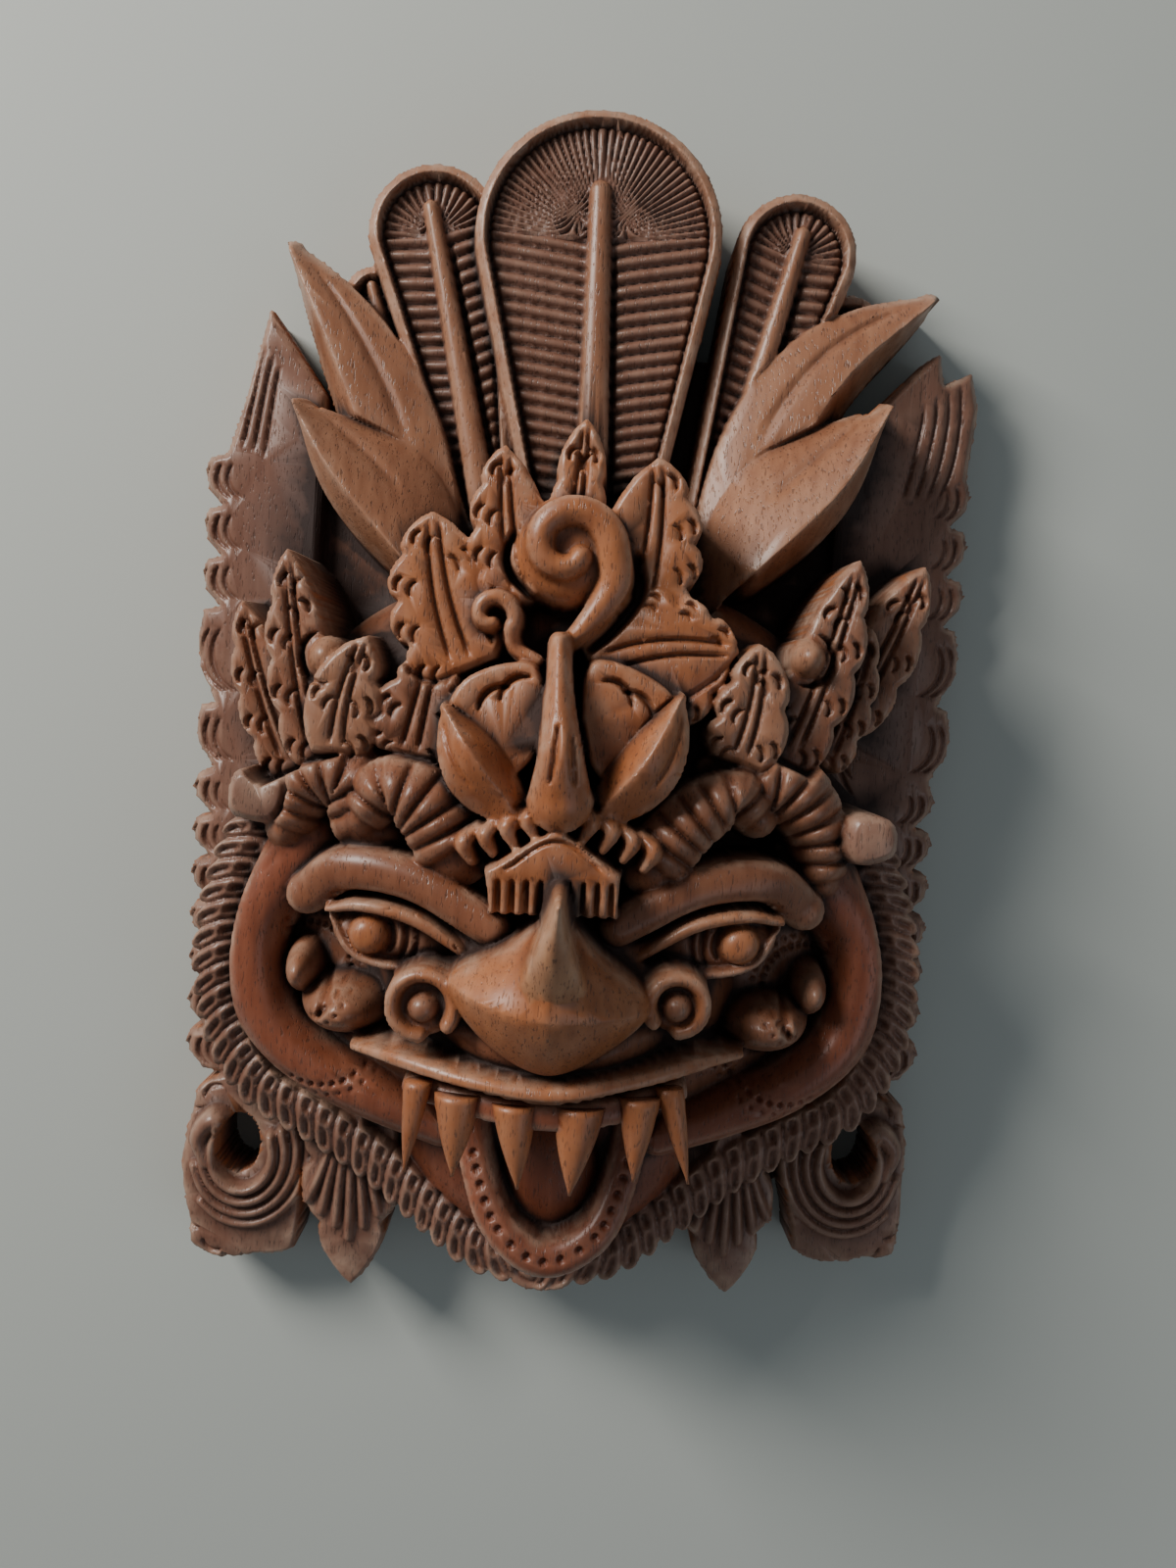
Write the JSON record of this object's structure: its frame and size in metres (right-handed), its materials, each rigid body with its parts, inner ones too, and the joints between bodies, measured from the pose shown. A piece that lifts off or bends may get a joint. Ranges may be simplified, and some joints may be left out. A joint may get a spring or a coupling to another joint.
{
  "type": "barong mask",
  "caption": "Carved wooden barong mask with a feather crown, ringed brows, beak nose, fangs and a curled ruff, hollow behind the face.",
  "frame": {"origin": "middle of the bounding box in plan, on the flat back plane", "axes": "+X across the face to the viewer's right, +Y up to the crown, +Z out of the face; the mask lies on its back"},
  "size_m": [0.2018, 0.3018, 0.1123],
  "materials": {
    "wood": "satin"
  },
  "bodies": {
    "root": {"mask": "wood"}
  },
  "joints": []
}
